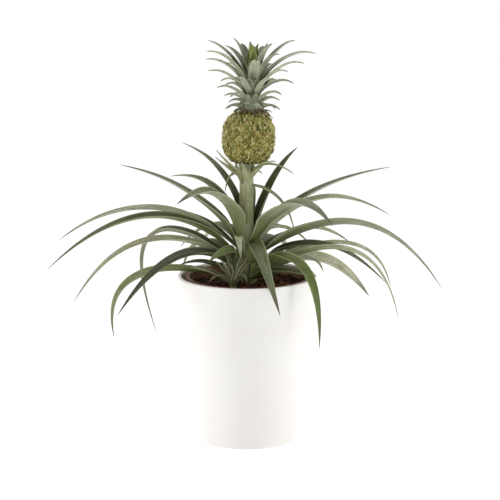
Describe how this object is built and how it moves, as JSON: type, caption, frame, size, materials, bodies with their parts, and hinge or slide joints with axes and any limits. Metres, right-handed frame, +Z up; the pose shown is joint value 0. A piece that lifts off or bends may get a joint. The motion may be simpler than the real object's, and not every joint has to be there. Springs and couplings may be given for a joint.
{
  "type": "potted pineapple plant",
  "caption": "Ornamental pineapple plant with arching leaves and a small crowned fruit on a stalk, in a nursery pot inside a tall tapered white glazed cover pot.",
  "frame": {"origin": "centre of the cover pot's flat base, on the surface it stands on", "axes": "+Z up along the pot's axis, +X to the right as seen from the plant's front, and the front faces -Y"},
  "size_m": [0.3774, 0.2128, 0.387],
  "materials": {
    "glazed_white": "gloss",
    "brown_plastic": "satin",
    "peat": "matte",
    "stalk": "satin",
    "leaf": "satin",
    "fruit_skin": "satin",
    "crown_leaf": "satin",
    "young_leaf": "satin"
  },
  "bodies": {
    "root": {"cover_pot": "glazed_white", "nursery_pot": "brown_plastic", "soil": "peat", "stem": "stalk", "offset_shoot": "leaf", "fruit": "fruit_skin", "crown": "crown_leaf", "crown_heart": "young_leaf", "leaf_01": "leaf", "leaf_02": "leaf", "leaf_03": "leaf", "leaf_04": "leaf", "leaf_05": "leaf", "leaf_06": "leaf", "leaf_07": "leaf", "leaf_08": "leaf", "leaf_09": "leaf", "leaf_10": "leaf", "leaf_11": "leaf", "leaf_12": "leaf", "leaf_13": "leaf", "leaf_14": "leaf", "leaf_15": "leaf", "leaf_16": "leaf", "leaf_17": "leaf", "leaf_18": "leaf", "leaf_19": "leaf", "leaf_20": "leaf", "leaf_21": "leaf", "leaf_22": "leaf", "leaf_23": "leaf", "leaf_24": "leaf", "leaf_25": "leaf", "leaf_26": "leaf", "leaf_27": "leaf", "leaf_28": "leaf", "leaf_29": "leaf", "leaf_30": "leaf", "leaf_31": "leaf", "leaf_32": "leaf", "leaf_33": "leaf", "leaf_34": "leaf", "leaf_35": "leaf", "leaf_36": "leaf"}
  },
  "joints": []
}
